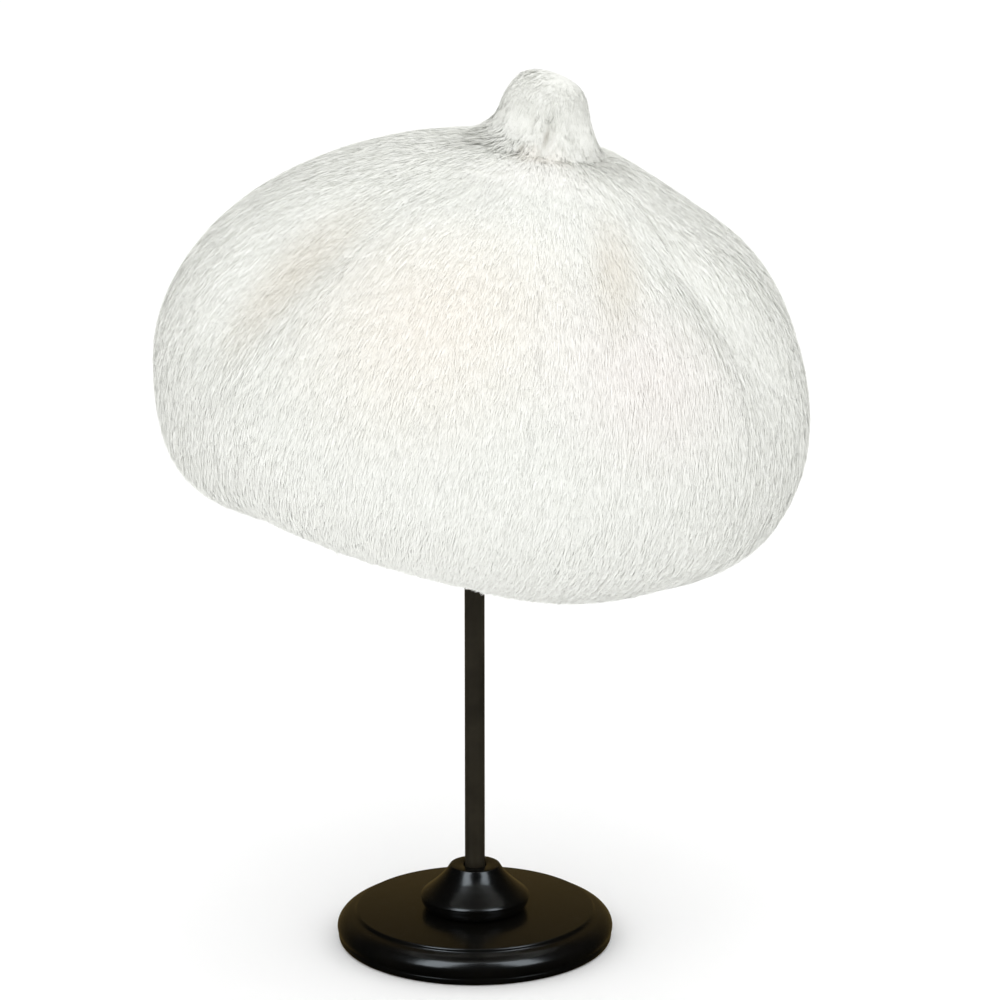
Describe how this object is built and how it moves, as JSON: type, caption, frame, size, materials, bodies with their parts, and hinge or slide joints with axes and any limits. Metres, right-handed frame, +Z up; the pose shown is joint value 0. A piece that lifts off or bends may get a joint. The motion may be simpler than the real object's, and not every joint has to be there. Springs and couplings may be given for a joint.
{
  "type": "faux fur beret on a hat stand",
  "caption": "Slouchy round faux fur beret, sewn from gores round a gathered fur knob, held on a turned disc-footed hat stand.",
  "frame": {"origin": "centre of the stand's underside, on the surface that it stands on", "axes": "+Z up along the stand's rod, -Y the hat's front, +X to the right seen from the front"},
  "size_m": [0.2898, 0.2719, 0.4],
  "materials": {
    "fur": "short-pile white faux fur, combed down from the knob",
    "lacquer": "satin black lacquer on turned wood",
    "rod_black": "satin brown-black enamel"
  },
  "bodies": {
    "root": {"gore_front_right": "fur", "gore_right": "fur", "gore_right_rear": "fur", "gore_rear_right": "fur", "gore_rear_left": "fur", "gore_left_rear": "fur", "gore_left": "fur", "gore_front_left": "fur", "knob": "fur", "stand_base": "lacquer", "stand_collar": "lacquer", "stand_rest": "lacquer", "stand_rod": "rod_black"}
  },
  "joints": []
}
